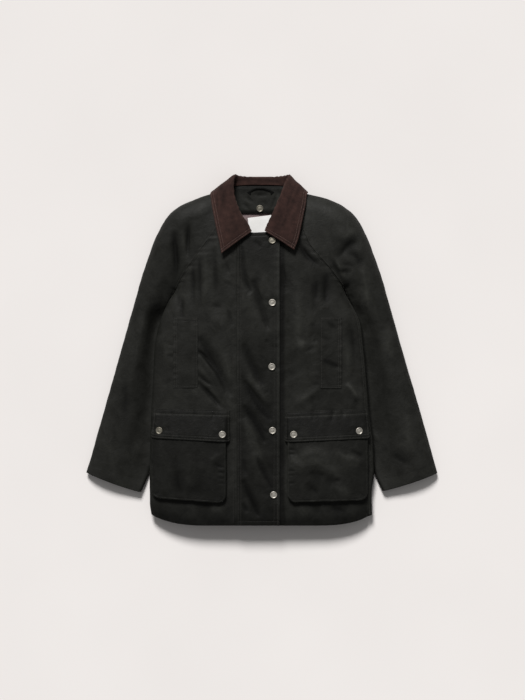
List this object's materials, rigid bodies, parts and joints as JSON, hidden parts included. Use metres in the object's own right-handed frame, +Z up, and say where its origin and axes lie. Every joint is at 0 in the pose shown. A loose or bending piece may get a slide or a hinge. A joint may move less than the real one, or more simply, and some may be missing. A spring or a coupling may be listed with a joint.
{
  "type": "waxed cotton jacket",
  "caption": "Hip-length waxed cotton jacket laid flat and snapped shut, with raglan sleeves, a corduroy collar, a storm fly, bellows pockets under flaps and handwarmer welts.",
  "frame": {"origin": "on the surface the jacket lies on, at the middle of its outline", "axes": "+Z up from the surface, +Y from the hem to the collar, +X to the wearer's left"},
  "size_m": [0.7714, 0.7711, 0.0663],
  "materials": {
    "waxed_cotton": "waxed, slightly greasy satin sheen",
    "corduroy": "fine-wale corduroy",
    "lining": "matt woven lining",
    "label_cloth": "bare woven label",
    "snap_metal": "antiqued, satin"
  },
  "bodies": {
    "root": {"back_lower": "waxed_cotton", "back_upper": "waxed_cotton", "front_right_lower": "waxed_cotton", "front_right_upper": "waxed_cotton", "front_left_lower": "waxed_cotton", "front_left_upper": "waxed_cotton", "front_fly": "waxed_cotton", "sleeve_right_front_raglan": "waxed_cotton", "sleeve_right_front_upper": "waxed_cotton", "sleeve_right_front_lower": "waxed_cotton", "sleeve_right_back_raglan": "waxed_cotton", "sleeve_right_back_upper": "waxed_cotton", "sleeve_right_back_lower": "waxed_cotton", "sleeve_left_front_raglan": "waxed_cotton", "sleeve_left_front_upper": "waxed_cotton", "sleeve_left_front_lower": "waxed_cotton", "sleeve_left_back_raglan": "waxed_cotton", "sleeve_left_back_upper": "waxed_cotton", "sleeve_left_back_lower": "waxed_cotton", "collar": "corduroy", "neck_facing": "waxed_cotton", "back_lining": "lining", "neck_label": "label_cloth", "hanger_loop": "waxed_cotton", "handwarmer_welt_right": "waxed_cotton", "handwarmer_welt_left": "waxed_cotton", "pocket_bag_right": "waxed_cotton", "pocket_bag_left": "waxed_cotton", "pocket_flap_right": "waxed_cotton", "pocket_flap_left": "waxed_cotton", "snap_fly_1": "snap_metal", "snap_fly_2": "snap_metal", "snap_fly_3": "snap_metal", "snap_fly_4": "snap_metal", "snap_fly_5": "snap_metal", "snap_flap_right_inner": "snap_metal", "snap_flap_right_outer": "snap_metal", "snap_flap_left_inner": "snap_metal", "snap_flap_left_outer": "snap_metal", "snap_neck": "snap_metal"}
  },
  "joints": []
}
